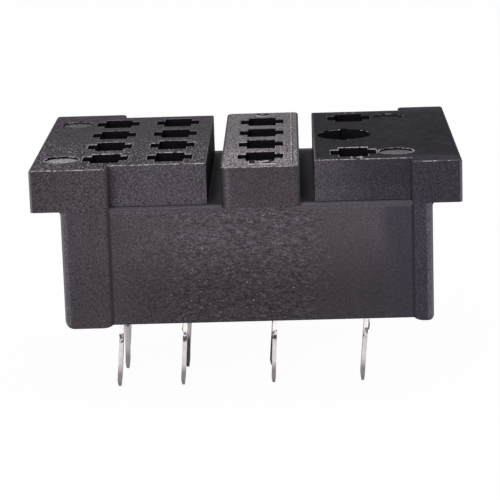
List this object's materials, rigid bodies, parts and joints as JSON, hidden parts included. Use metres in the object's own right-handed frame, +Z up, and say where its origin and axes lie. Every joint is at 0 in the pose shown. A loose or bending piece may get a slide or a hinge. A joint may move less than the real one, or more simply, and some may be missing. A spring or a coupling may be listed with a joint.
{
  "type": "relay socket",
  "caption": "Black moulded socket for a plug-in relay: plus-shaped blade wells, each with a sprung contact whose flat pin goes through the floor to a circuit board.",
  "frame": {"origin": "on the circuit board's face, where the feet stand, midway between the end lips and between the rows of contacts", "axes": "+X along the socket towards the coil end, +Y across it along the columns, +Z up out of the wells"},
  "size_m": [0.029, 0.0208, 0.0162],
  "materials": {
    "housing": "black moulded polyester with a fine spark-eroded grain",
    "contacts": "tin plate on spring bronze strip"
  },
  "bodies": {
    "root": {"housing": "housing", "nc_contact_1": "contacts", "nc_contact_2": "contacts", "nc_contact_3": "contacts", "nc_contact_4": "contacts", "no_contact_1": "contacts", "no_contact_2": "contacts", "no_contact_3": "contacts", "no_contact_4": "contacts", "com_contact_1": "contacts", "com_contact_2": "contacts", "com_contact_3": "contacts", "com_contact_4": "contacts", "coil_contact_1": "contacts", "coil_contact_2": "contacts"}
  },
  "joints": []
}
